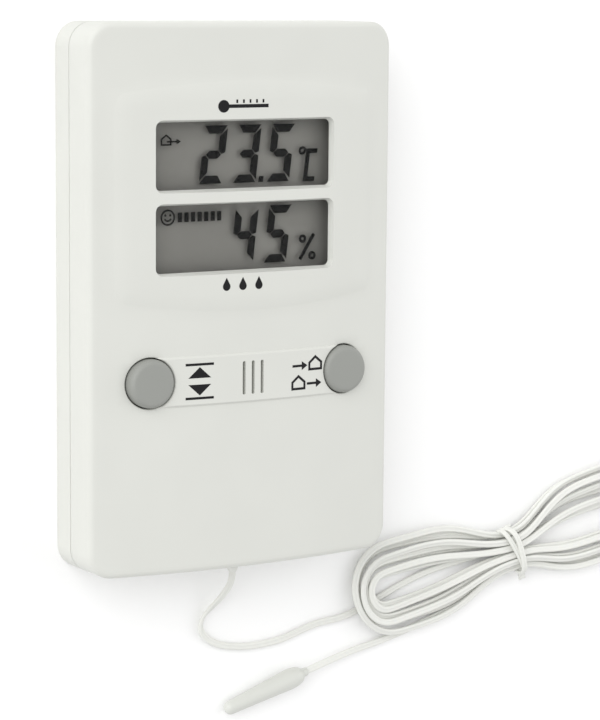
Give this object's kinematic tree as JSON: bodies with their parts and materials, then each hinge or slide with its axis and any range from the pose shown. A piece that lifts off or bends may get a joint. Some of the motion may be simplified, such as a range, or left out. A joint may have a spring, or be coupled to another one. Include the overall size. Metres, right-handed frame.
{
  "type": "maximum minimum thermometer",
  "caption": "Two-window digital maximum/minimum thermometer and hygrometer lying on its back, with two grey buttons and an outside probe on a tied flat lead.",
  "frame": {"origin": "middle of the back of the case, which lies on Z = 0", "axes": "+X across the face to the right, +Y up the face, +Z out of the face"},
  "size_m": [0.154, 0.1455, 0.0183],
  "materials": {
    "white_case": "fine satin moulding in warm white ABS",
    "clear_window": "clear polished acrylic",
    "display_glass": "grey liquid-crystal panel",
    "display_foil": "dull silver reflector film",
    "pink_silicone": "soft layered silicone",
    "green_board": "green solder mask on glass fibre",
    "plated_steel": "bright zinc plate",
    "black_resin": "glossy epoxy",
    "brown_ceramic": "fired ceramic",
    "grey_key": "soft matt mid-grey",
    "dark_silicone": "matt silicone",
    "cell_jacket": "shrink jacket on a steel can",
    "red_insulation": "smooth PVC",
    "black_insulation": "smooth PVC",
    "lead_insulation": "soft white PVC, two cores side by side",
    "probe_plastic": "satin white moulding"
  },
  "bodies": {
    "case": {"front_cover": "white_case", "rear_cover": "white_case", "window_lens": "clear_window", "lcd_glass": "display_glass", "lcd_reflector": "display_foil", "lcd_frame": "white_case", "zebra_strip_upper": "pink_silicone", "zebra_strip_lower": "pink_silicone", "circuit_board": "green_board", "board_screws": "plated_steel", "chip_cover": "black_resin", "crystal_can": "plated_steel", "board_parts": "brown_ceramic", "humidity_sensor": "white_case", "inside_thermistor": "black_resin", "max_min_pad": "dark_silicone", "in_out_pad": "dark_silicone", "battery": "cell_jacket", "battery_spring": "plated_steel", "battery_contact": "plated_steel", "red_wire": "red_insulation", "black_wire": "black_insulation", "case_screws": "plated_steel", "lead_gland": "white_case", "inside_lead": "lead_insulation", "lead_run": "lead_insulation", "lead_hank": "lead_insulation", "hank_tie": "lead_insulation", "lead_tail": "lead_insulation", "probe_shell": "probe_plastic", "probe_sensor": "black_resin"},
    "max_min_key": {"max_min_button": "grey_key"},
    "in_out_key": {"in_out_button": "grey_key"},
    "battery_door": {"battery_cover": "white_case"},
    "stand_leg": {"table_stand": "white_case"}
  },
  "joints": [
    {"name": "max_min_press", "type": "slide", "parent": "case", "child": "max_min_key", "axis": [0, 0, -1], "range_m": [0, 0.0008], "stiffness_N_per_m": 1000, "deforming": ["max_min_pad"]},
    {"name": "in_out_press", "type": "slide", "parent": "case", "child": "in_out_key", "axis": [0, 0, -1], "range_m": [0, 0.0008], "stiffness_N_per_m": 1000, "deforming": ["in_out_pad"]},
    {"name": "battery_door_hinge", "type": "hinge", "parent": "case", "child": "battery_door", "pos_m": [0, -0.027, 0.0008], "axis": [1, 0, 0], "range_deg": [0, 60]},
    {"name": "stand_hinge", "type": "hinge", "parent": "case", "child": "stand_leg", "pos_m": [0, 0.037, 0.0009], "axis": [1, 0, 0], "range_deg": [0, 45]}
  ]
}
